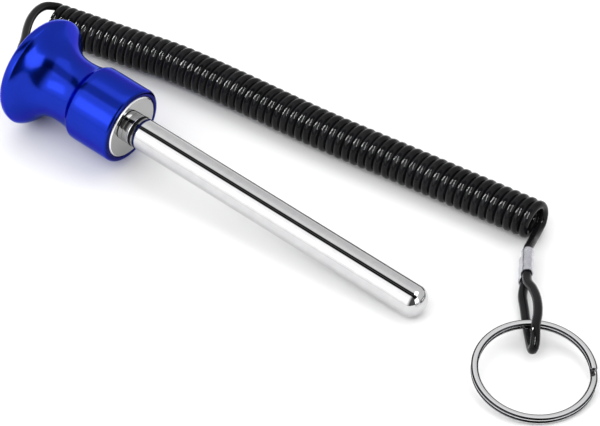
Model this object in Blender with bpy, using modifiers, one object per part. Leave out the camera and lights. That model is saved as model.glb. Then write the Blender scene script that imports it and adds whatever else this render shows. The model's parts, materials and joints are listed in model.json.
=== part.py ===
"""Magnetic hitch pin with a curly lanyard and a split ring, modelled piece by piece.

The pin lies on its side: the grip knob's flared rim and the pin's domed tip touch the surface Z = 0.
+X runs along the pin towards its tip, and +Z is up. The origin is the bottom centre of the box round
the pin and its knob. Turned pieces are drawn along a pin axis, whose zero is the magnet's face.
Run it with blender --background --python part.py, or from Blender's text editor. Units are metres.
"""
import math

import bmesh
import bpy
from mathutils import Matrix, Vector

MM = 0.001

# Pin: a half-inch shank, five and a half inches from the magnet's face to the tip
PIN_DIAMETER = 12.7 * MM
PIN_LENGTH = 139.7 * MM
TIP_DOME = 5.2 * MM
COLLAR_LENGTH = 2.8 * MM
NECK_DIAMETER = 12.0 * MM
STUD_DIAMETER = 10.0 * MM
STUD_LENGTH = 18.0 * MM
STUD_CHAMFER = 0.8 * MM

# Rubber ring in its groove, a collar's length outside the magnet
RING_SECTION = 0.7 * MM
RING_GROOVE_DEPTH = 0.9 * MM

# Ring magnet and the steel plate behind it
MAGNET_DIAMETER = 26.0 * MM
MAGNET_THICKNESS = 6.0 * MM
MAGNET_CHAMFER = 0.5 * MM
MAGNET_PROUD = 0.2 * MM
PLATE_THICKNESS = 2.0 * MM

# Grip knob, turned in one piece
BARREL_WALL = 2.3 * MM
BARREL_LENGTH = 19.8 * MM
BARREL_ROUNDING = 1.6 * MM
SHOULDER_CHAMFER = 1.3 * MM
SHOULDER_STEP = 0.9 * MM
WAIST_DIAMETER = 26.2 * MM
WAIST_FROM_SHOULDER = 9.9 * MM
FLARE_DIAMETER = 44.9 * MM
FLARE_FROM_WAIST = 15.6 * MM
FLARE_LIP = 2.3 * MM
RIM_THICKNESS = 4.4 * MM
RIM_ROUNDING = 3.4 * MM
BACK_CROWN = 0.8 * MM
CAVITY_LENGTH = 16.0 * MM

# How the waist's curves leave their ends. Shares are of the length from the waist to the flare.
WAIST_FRONT_FULLNESS = 0.2 * MM
WAIST_FRONT_PULL = 1.5 * MM
WAIST_SMOOTHING = 2.5 * MM
WAIST_BACK_SHARE = 0.69
FLARE_SHARE = 0.29

# Cord, its hole through the knob's back, and the ferrule that stops it inside
CORD_DIAMETER = 3.5 * MM
CORD_HOLE_MOUTH = 1.2 * MM
FERRULE_DIAMETER = 8.6 * MM
FERRULE_LENGTH = 8.0 * MM
COIL_DIAMETER = 15.8 * MM

# Oval sleeve that crimps the two strands of the end loop
SLEEVE_LENGTH = 12.0 * MM
SLEEVE_WALL = 0.45 * MM
SLEEVE_LEAN = math.radians(9)
STRAND_SPACING = 4.6 * MM

# Split ring: two flat turns of one wire, crossing from the upper layer to the lower
KEY_RING_DIAMETER = 45.5 * MM
KEY_WIRE_WIDTH = 2.7 * MM
KEY_WIRE_THICKNESS = 1.35 * MM
KEY_WIRE_EDGE = 0.35 * MM
KEY_RING_TILT = math.radians(7.0)
KEY_RING_RISE = math.radians(149.1)
KEY_RING_SPLIT = math.radians(30.0)
KEY_RING_END_GAP = math.radians(11.0)
KEY_RING_CENTRE = Vector((144.3, -0.5, 0)) * MM
KEY_RING_CROSSING = math.radians(129.2)

# Fits, and how finely round pieces are drawn
CLEARANCE = 0.3 * MM
COIL_LIFT = 0.1 * MM
COIL_END_GAP = 0.36 * MM
SLEEVE_STRAIGHT = 1.5 * MM
STEPS = 48
SMALL_STEPS = 24
SHARP_ANGLE = math.radians(35)

# The cord's free stretches, chosen by hand. The lead starts in the knob's back: its points are
# offsets in X and Y from there, and heights above the surface. The rest are plain positions.
LEAD_ROUTE = [(-0.0048, 0.0002, 0.0226), (-0.0106, 0.0044, 0.0220), (-0.0153, 0.0116, 0.0209),
              (-0.0203, 0.0185, 0.0198), (-0.0244, 0.0252, 0.0186), (-0.0271, 0.0318, 0.0172),
              (-0.0278, 0.0376, 0.0156)]
COIL_ROUTE = [(-0.1177, 0.0395), (-0.0889, 0.0446), (-0.0639, 0.0492), (-0.0339, 0.0513),
              (0.0061, 0.0532), (0.0511, 0.0572), (0.1001, 0.0614)]
TAIL_ROUTE = [(0.1024, 0.0632, 0.0029), (0.1033, 0.0603, 0.0031), (0.1045, 0.0566, 0.0041),
              (0.1060, 0.0528, 0.0056)]
SLEEVE_BACK = Vector((0.1086, 0.0466, 0.0072))
SLEEVE_HEADING = Vector((0.549, -0.836, 0)).normalized()
LOOP_ROUTE = [(0.1184, 0.0326, 0.0077), (0.1224, 0.0298, 0.0090), (0.1274, 0.0251, 0.0102),
              (0.1318, 0.0193, 0.0108), (0.1350, 0.0133, 0.0106), (0.1378, 0.0092, 0.0092),
              (0.1388, 0.0070, 0.0067), (0.1374, 0.0078, 0.0044), (0.1338, 0.0119, 0.0032),
              (0.1283, 0.0180, 0.0028), (0.1225, 0.0248, 0.0027), (0.1182, 0.0298, 0.0027)]
ROUTE_SPACING = 7.0 * MM
LOOP_SPACING = 4.2 * MM
COIL_SPACING = 9.0 * MM
LEAD_JOINS = math.radians(28)
LOOP_JOINS = math.radians(135)

# Worked out from the sizes above. Stations run along the pin axis, negative inside the knob.
PIN_RADIUS = PIN_DIAMETER / 2
CORD_RADIUS = CORD_DIAMETER / 2
COIL_RADIUS = COIL_DIAMETER / 2
STUD_RADIUS = STUD_DIAMETER / 2
FLARE_RADIUS = FLARE_DIAMETER / 2
POCKET_RADIUS = MAGNET_DIAMETER / 2 + CLEARANCE
NECK_END = -MAGNET_THICKNESS
GROOVE_WIDTH = RING_SECTION + 2 * CLEARANCE
SHANK_START = COLLAR_LENGTH + GROOVE_WIDTH
PLATE_FRONT = NECK_END - CLEARANCE
PLATE_BACK = PLATE_FRONT - PLATE_THICKNESS
SEAT = PLATE_BACK - CLEARANCE
RIM_FRONT = -MAGNET_PROUD
SHOULDER = RIM_FRONT - BARREL_LENGTH
WAIST = SHOULDER - WAIST_FROM_SHOULDER
FLARE = WAIST - FLARE_FROM_WAIST
BACK_EDGE = FLARE - RIM_THICKNESS
BACK = BACK_EDGE - BACK_CROWN
STUD_END = NECK_END - STUD_LENGTH
CAVITY_END = STUD_END - CAVITY_LENGTH
FERRULE_BACK = CAVITY_END + CLEARANCE


def ellipse_arc(radius, station, across, along, start, end, count):
    """Points of an elliptical arc from start to end degrees, as radius and station pairs."""
    angles = [math.radians(start + (end - start) * i / count) for i in range(count + 1)]
    return [(radius + across * math.cos(a), station + along * math.sin(a)) for a in angles]


def bezier(points, count):
    """Points along a cubic Bezier curve, without its first one."""
    a, b, c, d = (Vector(p) for p in points)
    steps = [i / count for i in range(1, count + 1)]
    return [tuple((1 - t) ** 3 * a + 3 * (1 - t) ** 2 * t * b + 3 * (1 - t) * t * t * c + t ** 3 * d)
            for t in steps]


def knob_outside():
    """The knob's outline from its front rim to its back, as radius and station pairs."""
    barrel = POCKET_RADIUS + BARREL_WALL
    waist = WAIST_DIAMETER / 2
    under = barrel - SHOULDER_STEP
    neck_top = SHOULDER - SHOULDER_CHAMFER
    outline = ellipse_arc(barrel - BARREL_ROUNDING, RIM_FRONT - BARREL_ROUNDING,
                          BARREL_ROUNDING, BARREL_ROUNDING, 90, 0, 5)
    outline += [(barrel, SHOULDER), (under, neck_top)]
    outline += bezier([(under, neck_top), (waist + WAIST_FRONT_FULLNESS, neck_top - WAIST_FRONT_PULL),
                       (waist, WAIST + WAIST_SMOOTHING), (waist, WAIST)], 6)
    outline += bezier([(waist, WAIST), (waist, WAIST - WAIST_BACK_SHARE * FLARE_FROM_WAIST),
                       (FLARE_RADIUS - FLARE_LIP, FLARE + FLARE_SHARE * FLARE_FROM_WAIST),
                       (FLARE_RADIUS, FLARE)], 12)
    rim = ellipse_arc(FLARE_RADIUS - RIM_ROUNDING, FLARE, RIM_ROUNDING, RIM_THICKNESS, 0, -90, 6)
    outline += rim[1:]
    return outline


def resting_tilt():
    """The pin axis falls by this angle towards the tip when the flare and the tip both touch Z = 0."""
    return math.atan2(FLARE_RADIUS - PIN_RADIUS, PIN_LENGTH - TIP_DOME - FLARE)


def pin_outside():
    """The shank's outline from the tip to the stud's end, as radius and station pairs."""
    groove = PIN_RADIUS - RING_GROOVE_DEPTH
    neck = NECK_DIAMETER / 2
    outline = ellipse_arc(0, PIN_LENGTH - TIP_DOME, PIN_RADIUS, TIP_DOME, 90, 0, 8)
    outline[0] = (0, PIN_LENGTH)
    outline += [(PIN_RADIUS, SHANK_START + CLEARANCE), (PIN_RADIUS - CLEARANCE, SHANK_START)]
    outline += [(groove, SHANK_START), (groove, COLLAR_LENGTH)]
    outline += [(PIN_RADIUS, COLLAR_LENGTH), (PIN_RADIUS, CLEARANCE), (neck, CLEARANCE), (neck, NECK_END)]
    outline += [(STUD_RADIUS, NECK_END), (STUD_RADIUS, STUD_END + STUD_CHAMFER)]
    outline += [(STUD_RADIUS - STUD_CHAMFER, STUD_END), (0, STUD_END)]
    return outline


def lowest_height(outline, tilt):
    """How far a tilted turned outline reaches below its axis zero."""
    return max(r * math.cos(tilt) + s * math.sin(tilt) for r, s in outline)


def pin_axis_matrix():
    """Places the pin axis so that its outline rests on Z = 0 and is centred on X = 0."""
    tilt = resting_tilt()
    outline = knob_outside() + [(0, BACK)] + pin_outside()
    along = [s * math.cos(tilt) + side * r * math.sin(tilt) for r, s in outline for side in (-1, 1)]
    centre = (max(along) + min(along)) / 2
    height = lowest_height(outline, tilt)
    return Matrix.Translation((-centre, 0, height)) @ Matrix.Rotation(math.pi / 2 + tilt, 4, 'Y')


def clear_scene():
    for old in list(bpy.data.objects):
        bpy.data.objects.remove(old, do_unlink=True)


def make_collection(name):
    made = bpy.data.collections.new(name)
    bpy.context.scene.collection.children.link(made)
    return made


def make_material(name, colour, roughness, metallic):
    material = bpy.data.materials.new(name)
    material.use_nodes = True
    shader = material.node_tree.nodes["Principled BSDF"]
    shader.inputs["Base Color"].default_value = (*colour, 1)
    shader.inputs["Roughness"].default_value = roughness
    shader.inputs["Metallic"].default_value = metallic
    return material


def add_object(name, data, material, collection, parent=None):
    """Links a named object with its material, under a parent empty if it has one."""
    made = bpy.data.objects.new(name, data)
    collection.objects.link(made)
    data.materials.append(material)
    made.parent = parent
    return made


def add_empty(name, matrix, collection):
    empty = bpy.data.objects.new(name, None)
    empty.empty_display_size = 10 * MM
    empty.matrix_world = matrix
    collection.objects.link(empty)
    return empty


def turned(name, outline, material, collection, parent, closed=True, steps=STEPS):
    """A turned piece: its outline, outer side first from the tip end, spun by a Screw modifier."""
    bm = bmesh.new()
    points = [bm.verts.new((r, 0, s)) for r, s in outline]
    for first, second in zip(points, points[1:]):
        bm.edges.new((first, second))
    if closed:
        bm.edges.new((points[-1], points[0]))
    mesh = bpy.data.meshes.new(name)
    bm.to_mesh(mesh)
    bm.free()
    made = add_object(name, mesh, material, collection, parent)
    screw = made.modifiers.new("Screw", 'SCREW')
    screw.axis = 'Z'
    screw.steps = steps
    screw.render_steps = steps
    screw.use_merge_vertices = True
    screw.merge_threshold = 0.00001
    screw.use_smooth_shade = True
    return made


def smooth_route(points, spacing):
    """Points spaced evenly along a smooth curve that passes through every given point."""
    keys = [Vector(p) for p in points]
    padded = [2 * keys[0] - keys[1]] + keys + [2 * keys[-1] - keys[-2]]
    dense = []
    for a, b, c, d in zip(padded, padded[1:], padded[2:], padded[3:]):
        for i in range(24):
            t = i / 24
            dense.append(0.5 * (2 * b + (c - a) * t + (2 * a - 5 * b + 4 * c - d) * t * t
                                + (3 * b - a - 3 * c + d) * t ** 3))
    dense.append(keys[-1])
    lengths = [0.0]
    for first, second in zip(dense, dense[1:]):
        lengths.append(lengths[-1] + (second - first).length)
    count = max(2, round(lengths[-1] / spacing))
    route = []
    at = 0
    for i in range(count):
        target = lengths[-1] * i / count
        while lengths[at + 1] < target:
            at += 1
        share = (target - lengths[at]) / (lengths[at + 1] - lengths[at])
        route.append(dense[at].lerp(dense[at + 1], share))
    return route + [dense[-1]]


def tube(name, route, radius, resolution, material, collection):
    """A round tube with flat ends along a route."""
    curve = bpy.data.curves.new(name, 'CURVE')
    curve.dimensions = '3D'
    curve.bevel_depth = radius
    curve.bevel_resolution = resolution
    curve.use_fill_caps = True
    spline = curve.splines.new('POLY')
    spline.points.add(len(route) - 1)
    for point, place in zip(spline.points, route):
        point.co = (*place, 1)
    return add_object(name, curve, material, collection)


def make_pin(collection, axis, chrome):
    return turned("hitch_pin", pin_outside(), chrome, collection, axis, closed=False)


def make_knob(collection, axis, blue):
    """The knob, counterbored for the magnet and bored for the stud, the ferrule and the cord."""
    bore = STUD_RADIUS + CLEARANCE
    hole = CORD_RADIUS + CLEARANCE
    inside = ellipse_arc(hole + CORD_HOLE_MOUTH, BACK + CORD_HOLE_MOUTH,
                         CORD_HOLE_MOUTH, CORD_HOLE_MOUTH, 270, 180, 4)
    inside += [(hole, CAVITY_END), (bore, CAVITY_END), (bore, SEAT), (POCKET_RADIUS, SEAT)]
    inside += [(POCKET_RADIUS, RIM_FRONT)]
    return turned("grip_knob", knob_outside() + inside, blue, collection, axis)


def make_magnet(collection, axis, nickel):
    """The ring magnet, its face at the pin axis's zero."""
    outer = MAGNET_DIAMETER / 2
    inner = NECK_DIAMETER / 2 + CLEARANCE
    bevel = MAGNET_CHAMFER
    outline = [(outer - bevel, 0), (outer, -bevel), (outer, -MAGNET_THICKNESS)]
    outline += [(inner, -MAGNET_THICKNESS), (inner, -CLEARANCE), (inner + CLEARANCE, 0)]
    return turned("ring_magnet", outline, nickel, collection, axis)


def make_plate(collection, axis, steel):
    """The steel plate that carries the magnet's flux and seats on the knob's counterbore."""
    outer = MAGNET_DIAMETER / 2
    inner = STUD_RADIUS + CLEARANCE
    outline = [(outer, PLATE_FRONT), (outer, PLATE_BACK), (inner, PLATE_BACK), (inner, PLATE_FRONT)]
    return turned("magnet_backing_plate", outline, steel, collection, axis)


def make_rubber_ring(collection, axis, rubber):
    """The rubber ring, round in section, with a clearance to its groove all round."""
    radius = RING_SECTION / 2
    middle = PIN_RADIUS - RING_GROOVE_DEPTH + CLEARANCE + radius
    station = COLLAR_LENGTH + GROOVE_WIDTH / 2
    outline = ellipse_arc(middle, station, radius, radius, 90, -240, 11)
    return turned("anti_rattle_ring", outline, rubber, collection, axis)


def make_ferrule(collection, axis, steel):
    """The ferrule crimped on the cord's end, which stops it at the cavity's back wall."""
    outer = FERRULE_DIAMETER / 2
    inner = CORD_RADIUS + CLEARANCE
    front = FERRULE_BACK + FERRULE_LENGTH
    bevel = 2 * CLEARANCE
    outline = [(outer - bevel, front), (outer, front - bevel), (outer, FERRULE_BACK + bevel)]
    outline += [(outer - bevel, FERRULE_BACK), (inner, FERRULE_BACK), (inner, front)]
    return turned("cord_stop_ferrule", outline, steel, collection, axis, steps=SMALL_STEPS)


def coil_axis():
    """The coil's own axis, as it lies on the surface."""
    height = COIL_RADIUS + COIL_LIFT
    return smooth_route([(x, y, height) for x, y in COIL_ROUTE], COIL_SPACING)


def beside_coil_end(end, before, angle):
    """The cord's place where it meets a coil's end turn, an angle past the turn's top to its +Y side."""
    outward = (end - before).normalized()
    side = Vector((-abs(outward.y), abs(outward.x), 0))
    turn = Vector((0, 0, 1)) * math.cos(angle) + side * math.sin(angle)
    reach = CORD_RADIUS + COIL_END_GAP
    return end + outward * reach + turn * (COIL_RADIUS - CORD_RADIUS)


def make_lead(collection, axis_matrix, black):
    """The cord from the ferrule through the knob's back and over to the coil's first turn."""
    inside = axis_matrix @ Vector((0, 0, FERRULE_BACK + FERRULE_LENGTH - CLEARANCE))
    wall = axis_matrix @ Vector((0, 0, (CAVITY_END + BACK) / 2))
    exit_point = axis_matrix @ Vector((0, 0, BACK))
    free = [Vector((exit_point.x + dx, exit_point.y + dy, z)) for dx, dy, z in LEAD_ROUTE]
    axis = coil_axis()
    last = beside_coil_end(axis[0], axis[1], LEAD_JOINS)
    route = smooth_route([inside, wall, exit_point] + free + [last], ROUTE_SPACING)
    return tube("lanyard_lead", route, CORD_RADIUS, 2, black, collection)


def make_coil(collection, black):
    """The curly stretch, as one tube of its outer diameter."""
    return tube("lanyard_coil", coil_axis(), COIL_RADIUS, 6, black, collection)


def sleeve_frame():
    """The sleeve's middle line ends, and its leaning upright direction from strand to strand."""
    side = Vector((-SLEEVE_HEADING.y, SLEEVE_HEADING.x, 0))
    up = Vector((0, 0, 1)) * math.cos(SLEEVE_LEAN) + side * math.sin(SLEEVE_LEAN)
    front = SLEEVE_BACK + SLEEVE_HEADING * SLEEVE_LENGTH
    return SLEEVE_BACK, front, up


def make_loop(collection, black):
    """The cord from the coil's last turn through the sleeve, round the key ring and back into it."""
    axis = coil_axis()
    first = beside_coil_end(axis[-1], axis[-2], LOOP_JOINS)
    back, front, up = sleeve_frame()
    drop = up * STRAND_SPACING
    straight = SLEEVE_HEADING * SLEEVE_STRAIGHT
    end = back - drop + SLEEVE_HEADING * CLEARANCE
    points = [first] + [Vector(p) for p in TAIL_ROUTE]
    points += [back - straight, back, front, front + straight]
    points += [Vector(p) for p in LOOP_ROUTE]
    points += [front - drop + straight, front - drop, end]
    route = smooth_route(points, LOOP_SPACING)
    return tube("lanyard_loop", route, CORD_RADIUS, 2, black, collection)


def slot_spline(curve, radius, spacing, arc_steps):
    """Adds the outline of a round-ended slot to a flat curve."""
    points = []
    for side in (1, -1):
        for i in range(arc_steps + 1):
            angle = math.pi * i / arc_steps
            across = radius * math.cos(angle)
            along = spacing / 2 + radius * math.sin(angle)
            points.append((side * across, side * along))
    spline = curve.splines.new('POLY')
    spline.points.add(len(points) - 1)
    for point, place in zip(spline.points, points):
        point.co = (*place, 0, 1)
    spline.use_cyclic_u = True


def make_sleeve(collection, aluminium):
    """The oval crimp sleeve round both strands."""
    curve = bpy.data.curves.new("crimp_sleeve", 'CURVE')
    curve.dimensions = '2D'
    curve.fill_mode = 'BOTH'
    curve.extrude = SLEEVE_LENGTH / 2
    inner = CORD_RADIUS + CLEARANCE
    slot_spline(curve, inner + SLEEVE_WALL, STRAND_SPACING, 10)
    slot_spline(curve, inner, STRAND_SPACING, 10)
    made = add_object("crimp_sleeve", curve, aluminium, collection)
    back, front, up = sleeve_frame()
    forward = SLEEVE_HEADING
    side = up.cross(forward)
    turn = Matrix((side, up, forward)).transposed().to_4x4()
    made.matrix_world = Matrix.Translation((back + front) / 2 - up * STRAND_SPACING / 2) @ turn
    return made


def key_ring_matrix():
    """The split ring's frame: its lower edge on the surface, its far side raised by the strand."""
    rise = Vector((math.cos(KEY_RING_RISE), math.sin(KEY_RING_RISE), 0))
    swing = Vector((0, 0, 1)).cross(rise)
    half = KEY_WIRE_THICKNESS + CLEARANCE / 2
    height = KEY_RING_DIAMETER / 2 * math.sin(KEY_RING_TILT) + half * math.cos(KEY_RING_TILT)
    place = Matrix.Translation(KEY_RING_CENTRE + Vector((0, 0, height)))
    return place @ Matrix.Rotation(-KEY_RING_TILT, 4, swing)


def key_ring_pivot():
    """The hinge where the ring's wire passes through the loop: its X axis is along the wire."""
    frame = key_ring_matrix()
    middle = (KEY_RING_DIAMETER - KEY_WIRE_WIDTH) / 2
    radial = Vector((math.cos(KEY_RING_CROSSING), math.sin(KEY_RING_CROSSING), 0))
    along_wire = Matrix.Rotation(KEY_RING_CROSSING - math.pi / 2, 4, 'Z')
    return frame @ Matrix.Translation(radial * middle) @ along_wire


def wire_layer(angle):
    """The wire's height in its two-turn path, from the upper layer to the lower one."""
    offset = (KEY_WIRE_THICKNESS + CLEARANCE) / 2
    share = (angle - 2 * math.pi + KEY_RING_END_GAP) / (2 * KEY_RING_END_GAP)
    share = min(1.0, max(0.0, share))
    return offset * (1 - 2 * share * share * (3 - 2 * share))


def make_key_ring(collection, steel):
    """The split ring: a bevelled wire section carried round twice, from the top layer to the lower."""
    bm = bmesh.new()
    middle = (KEY_RING_DIAMETER - KEY_WIRE_WIDTH) / 2
    wide, tall, cut = KEY_WIRE_WIDTH / 2, KEY_WIRE_THICKNESS / 2, KEY_WIRE_EDGE
    section = [(wide, tall - cut), (wide - cut, tall), (cut - wide, tall), (-wide, tall - cut)]
    section += [(-x, -z) for x, z in section]
    start = KEY_RING_END_GAP
    level = wire_layer(start)
    face = bm.faces.new([bm.verts.new((middle + x, 0, z + level)) for x, z in section])
    bmesh.ops.rotate(bm, verts=bm.verts, matrix=Matrix.Rotation(start, 3, 'Z'))
    steps = 2 * STEPS
    stride = (4 * math.pi - 2 * KEY_RING_END_GAP) / steps
    for i in range(1, steps + 1):
        last = face
        grown = bmesh.ops.extrude_face_region(bm, geom=[last])["geom"]
        if i > 1:
            bmesh.ops.delete(bm, geom=[last], context='FACES_ONLY')
        tip = [v for v in grown if isinstance(v, bmesh.types.BMVert)]
        face = next(f for f in grown if isinstance(f, bmesh.types.BMFace))
        lift = wire_layer(start + i * stride) - level
        level += lift
        bmesh.ops.rotate(bm, verts=tip, matrix=Matrix.Rotation(stride, 3, 'Z'))
        bmesh.ops.translate(bm, verts=tip, vec=(0, 0, lift))
    bmesh.ops.rotate(bm, verts=bm.verts, matrix=Matrix.Rotation(KEY_RING_SPLIT, 3, 'Z'))
    bmesh.ops.recalc_face_normals(bm, faces=bm.faces)
    pivot = add_empty("key_ring_pivot", key_ring_pivot(), collection)
    bmesh.ops.transform(bm, matrix=key_ring_pivot().inverted() @ key_ring_matrix(), verts=bm.verts)
    mesh = bpy.data.meshes.new("split_ring")
    bm.to_mesh(mesh)
    bm.free()
    mesh.shade_smooth()
    mesh.set_sharp_from_angle(angle=SHARP_ANGLE)
    return add_object("split_ring", mesh, steel, collection, pivot)


def main():
    clear_scene()
    pieces = make_collection("hitch_pin_lock")
    axis_matrix = pin_axis_matrix()
    axis = add_empty("pin_axis", axis_matrix, pieces)
    chrome = make_material("polished_chrome", (0.80, 0.80, 0.81), 0.06, 1)
    nickel = make_material("nickel_plate", (0.72, 0.71, 0.69), 0.10, 1)
    steel = make_material("zinc_plated_steel", (0.55, 0.55, 0.57), 0.35, 1)
    bright = make_material("bright_ring_steel", (0.74, 0.74, 0.75), 0.14, 1)
    aluminium = make_material("bare_aluminium", (0.68, 0.68, 0.70), 0.30, 1)
    blue = make_material("blue_anodising", (0.010, 0.030, 0.50), 0.22, 0.85)
    black = make_material("black_cord", (0.012, 0.012, 0.013), 0.25, 0)
    rubber = make_material("black_rubber", (0.015, 0.015, 0.018), 0.6, 0)
    make_pin(pieces, axis, chrome)
    make_knob(pieces, axis, blue)
    make_magnet(pieces, axis, nickel)
    make_plate(pieces, axis, steel)
    make_rubber_ring(pieces, axis, rubber)
    make_ferrule(pieces, axis, steel)
    make_lead(pieces, axis_matrix, black)
    make_coil(pieces, black)
    make_loop(pieces, black)
    make_sleeve(pieces, aluminium)
    make_key_ring(pieces, bright)


main()
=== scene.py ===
# %% [markdown]
# # A magnetic hitch pin and its curly lanyard
# A chrome pin with a blue grip knob lies on a table. A ring magnet is set in the knob's front, and a
# curly cord ties the knob to a split ring. The construction is already packed as a fixed frame, so
# this script only makes the fine surfaces: each visible piece is modelled again with smooth curves,
# in the place that the frame gives it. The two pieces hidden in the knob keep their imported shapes.

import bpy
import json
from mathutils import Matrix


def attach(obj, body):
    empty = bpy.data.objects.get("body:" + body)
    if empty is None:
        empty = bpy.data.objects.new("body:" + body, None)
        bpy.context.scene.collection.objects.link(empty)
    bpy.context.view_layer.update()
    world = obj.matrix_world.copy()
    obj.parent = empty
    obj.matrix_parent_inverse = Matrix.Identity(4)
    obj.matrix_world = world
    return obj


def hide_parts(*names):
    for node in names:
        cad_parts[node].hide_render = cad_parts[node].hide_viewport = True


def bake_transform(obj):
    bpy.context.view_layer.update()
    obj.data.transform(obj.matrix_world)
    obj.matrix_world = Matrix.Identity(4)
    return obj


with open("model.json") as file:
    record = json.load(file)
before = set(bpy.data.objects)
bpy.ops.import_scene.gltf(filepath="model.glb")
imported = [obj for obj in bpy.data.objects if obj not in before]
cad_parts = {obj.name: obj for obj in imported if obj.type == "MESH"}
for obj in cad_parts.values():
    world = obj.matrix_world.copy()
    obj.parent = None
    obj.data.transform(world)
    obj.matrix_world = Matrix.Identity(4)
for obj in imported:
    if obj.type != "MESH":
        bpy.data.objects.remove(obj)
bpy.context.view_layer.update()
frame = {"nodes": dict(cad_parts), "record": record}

import json
import math

import bmesh
import bpy
import numpy as np
from mathutils import Matrix, Vector

MM = 0.001
print("nodes:", sorted(frame["nodes"]))

# %% [markdown]
# ## The camera
# A long lens stands well back, so that the pin hardly narrows towards its far end. The camera could
# be placed by hand, but two angles and a distance from its target are easier to read and to change.
# Azimuth 0 looks along +Y, and the camera is turned round the vertical and raised from there.

# %% Camera
CAMERA_AZIMUTH = math.radians(38.124)
CAMERA_ELEVATION = math.radians(42.557)
CAMERA_DISTANCE = 1.1
CAMERA_TARGET = Vector((0.02428, 0.017165, 0))
CAMERA_LENS = 173.69
CAMERA_SENSOR = 36


def make_camera():
    """The scene's camera, placed by its angles and its distance from what it looks at."""
    data = bpy.data.cameras.new("product_camera")
    data.lens = CAMERA_LENS
    data.sensor_width = CAMERA_SENSOR
    made = bpy.data.objects.new("product_camera", data)
    back = Vector((math.sin(CAMERA_AZIMUTH) * math.cos(CAMERA_ELEVATION),
                   -math.cos(CAMERA_AZIMUTH) * math.cos(CAMERA_ELEVATION),
                   math.sin(CAMERA_ELEVATION)))
    made.location = CAMERA_TARGET + back * CAMERA_DISTANCE
    made.rotation_euler = (math.pi / 2 - CAMERA_ELEVATION, 0, CAMERA_AZIMUTH)
    bpy.context.scene.collection.objects.link(made)
    bpy.context.scene.camera = made
    return made


camera = make_camera()
bpy.context.scene.view_settings.view_transform = 'Standard'
print("camera at", tuple(round(x, 3) for x in camera.location))

# %% [markdown]
# ## The pin axis
# Pin, knob, magnet and rubber ring are all turned round one line, which falls a little towards the
# tip because the knob's flare is wider than the pin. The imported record's magnet face gives that line:
# its zero is the middle of the face, and stations along it are negative inside the knob.

# %% Pin axis
face = frame["record"]["mounts"][0]
AXIS = Vector(face["axis"]).normalized()
AXIS_ZERO = Vector((face["pos_m"][0], 0, face["pos_m"][2]))
TILT = math.atan2(-AXIS.z, AXIS.x)
PIN_FRAME = Matrix.Translation(AXIS_ZERO) @ Matrix.Rotation(math.pi / 2 + TILT, 4, 'Y')
print("the pin falls by", round(math.degrees(TILT), 2), "degrees")

# %% [markdown]
# ## Places along the axis
# A turned piece is easiest to describe by stations along its axis and by a radius at each. The knob's
# stations come first, because the cord starts inside the knob and leaves through its back. They are
# worked out from the lengths of the barrel, the waist and the flare, so each length is written once.

# %% The knob's stations
RIM_FRONT = -0.2 * MM
BARREL_LENGTH = 19.8 * MM
WAIST_FROM_SHOULDER = 9.9 * MM
FLARE_FROM_WAIST = 15.6 * MM
RIM_THICKNESS = 4.4 * MM
BACK_CROWN = 0.8 * MM
CAVITY_END = -40.0 * MM

SHOULDER = RIM_FRONT - BARREL_LENGTH
WAIST = SHOULDER - WAIST_FROM_SHOULDER
FLARE = WAIST - FLARE_FROM_WAIST
BACK_EDGE = FLARE - RIM_THICKNESS
BACK = BACK_EDGE - BACK_CROWN
print("the knob's back is", round(-BACK / MM, 1), "mm behind the magnet's face")

# %% [markdown]
# ## Curves in small helpers
# An arc or a Bezier curve gives the points of an outline. A Catmull-Rom curve carries a cord smoothly
# through a few chosen places; a Bezier curve would need handles at each of them. Its points are then
# spaced evenly by length, which keeps the rings of the cord's mesh even.

# %% Curve helpers
def arc(radius, station, across, along, start, end, count):
    """Points of an elliptical arc from start to end degrees, as radius and station pairs."""
    angles = [math.radians(start + (end - start) * i / count) for i in range(count + 1)]
    return [(radius + across * math.cos(a), station + along * math.sin(a)) for a in angles]


def bezier(points, count):
    """Points along a cubic Bezier curve, without its first one."""
    a, b, c, d = (Vector(p) for p in points)
    steps = [i / count for i in range(1, count + 1)]
    return [tuple((1 - t) ** 3 * a + 3 * (1 - t) ** 2 * t * b + 3 * (1 - t) * t * t * c + t ** 3 * d)
            for t in steps]


def smooth_route(points, spacing, splits=24):
    """Points spaced evenly along a smooth curve that passes through every given point."""
    keys = np.array([tuple(p) for p in points])
    padded = np.vstack([2 * keys[0] - keys[1], keys, 2 * keys[-1] - keys[-2]])
    a, b, c, d = padded[:-3], padded[1:-2], padded[2:-1], padded[3:]
    t = (np.arange(splits) / splits)[None, :, None]
    a, b, c, d = (x[:, None, :] for x in (a, b, c, d))
    dense = 0.5 * (2 * b + (c - a) * t + (2 * a - 5 * b + 4 * c - d) * t ** 2
                   + (3 * b - a - 3 * c + d) * t ** 3)
    dense = np.vstack([dense.reshape(-1, 3), keys[-1]])
    lengths = np.concatenate([[0], np.cumsum(np.linalg.norm(np.diff(dense, axis=0), axis=1))])
    count = max(2, round(lengths[-1] / spacing))
    targets = np.linspace(0, lengths[-1], count + 1)
    return np.stack([np.interp(targets, lengths, dense[:, i]) for i in range(3)], axis=1)


print("a quarter arc in 4 steps has", len(arc(0, 0, MM, MM, 0, 90, 4)), "points")

# %% [markdown]
# ## The cord's route
# The whole lanyard is one cord. It starts in a ferrule inside the knob, leaves the middle of the
# knob's back, bends over to the coil, winds through its turns, and ends in a loop that a crimped
# sleeve closes round the split ring. A coil could be one turn in an Array, but then it couldn't bend
# or lead smoothly into its ends. So the free stretches are chosen places, and the coil is a helix
# worked out along its own gently curved axis.

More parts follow.
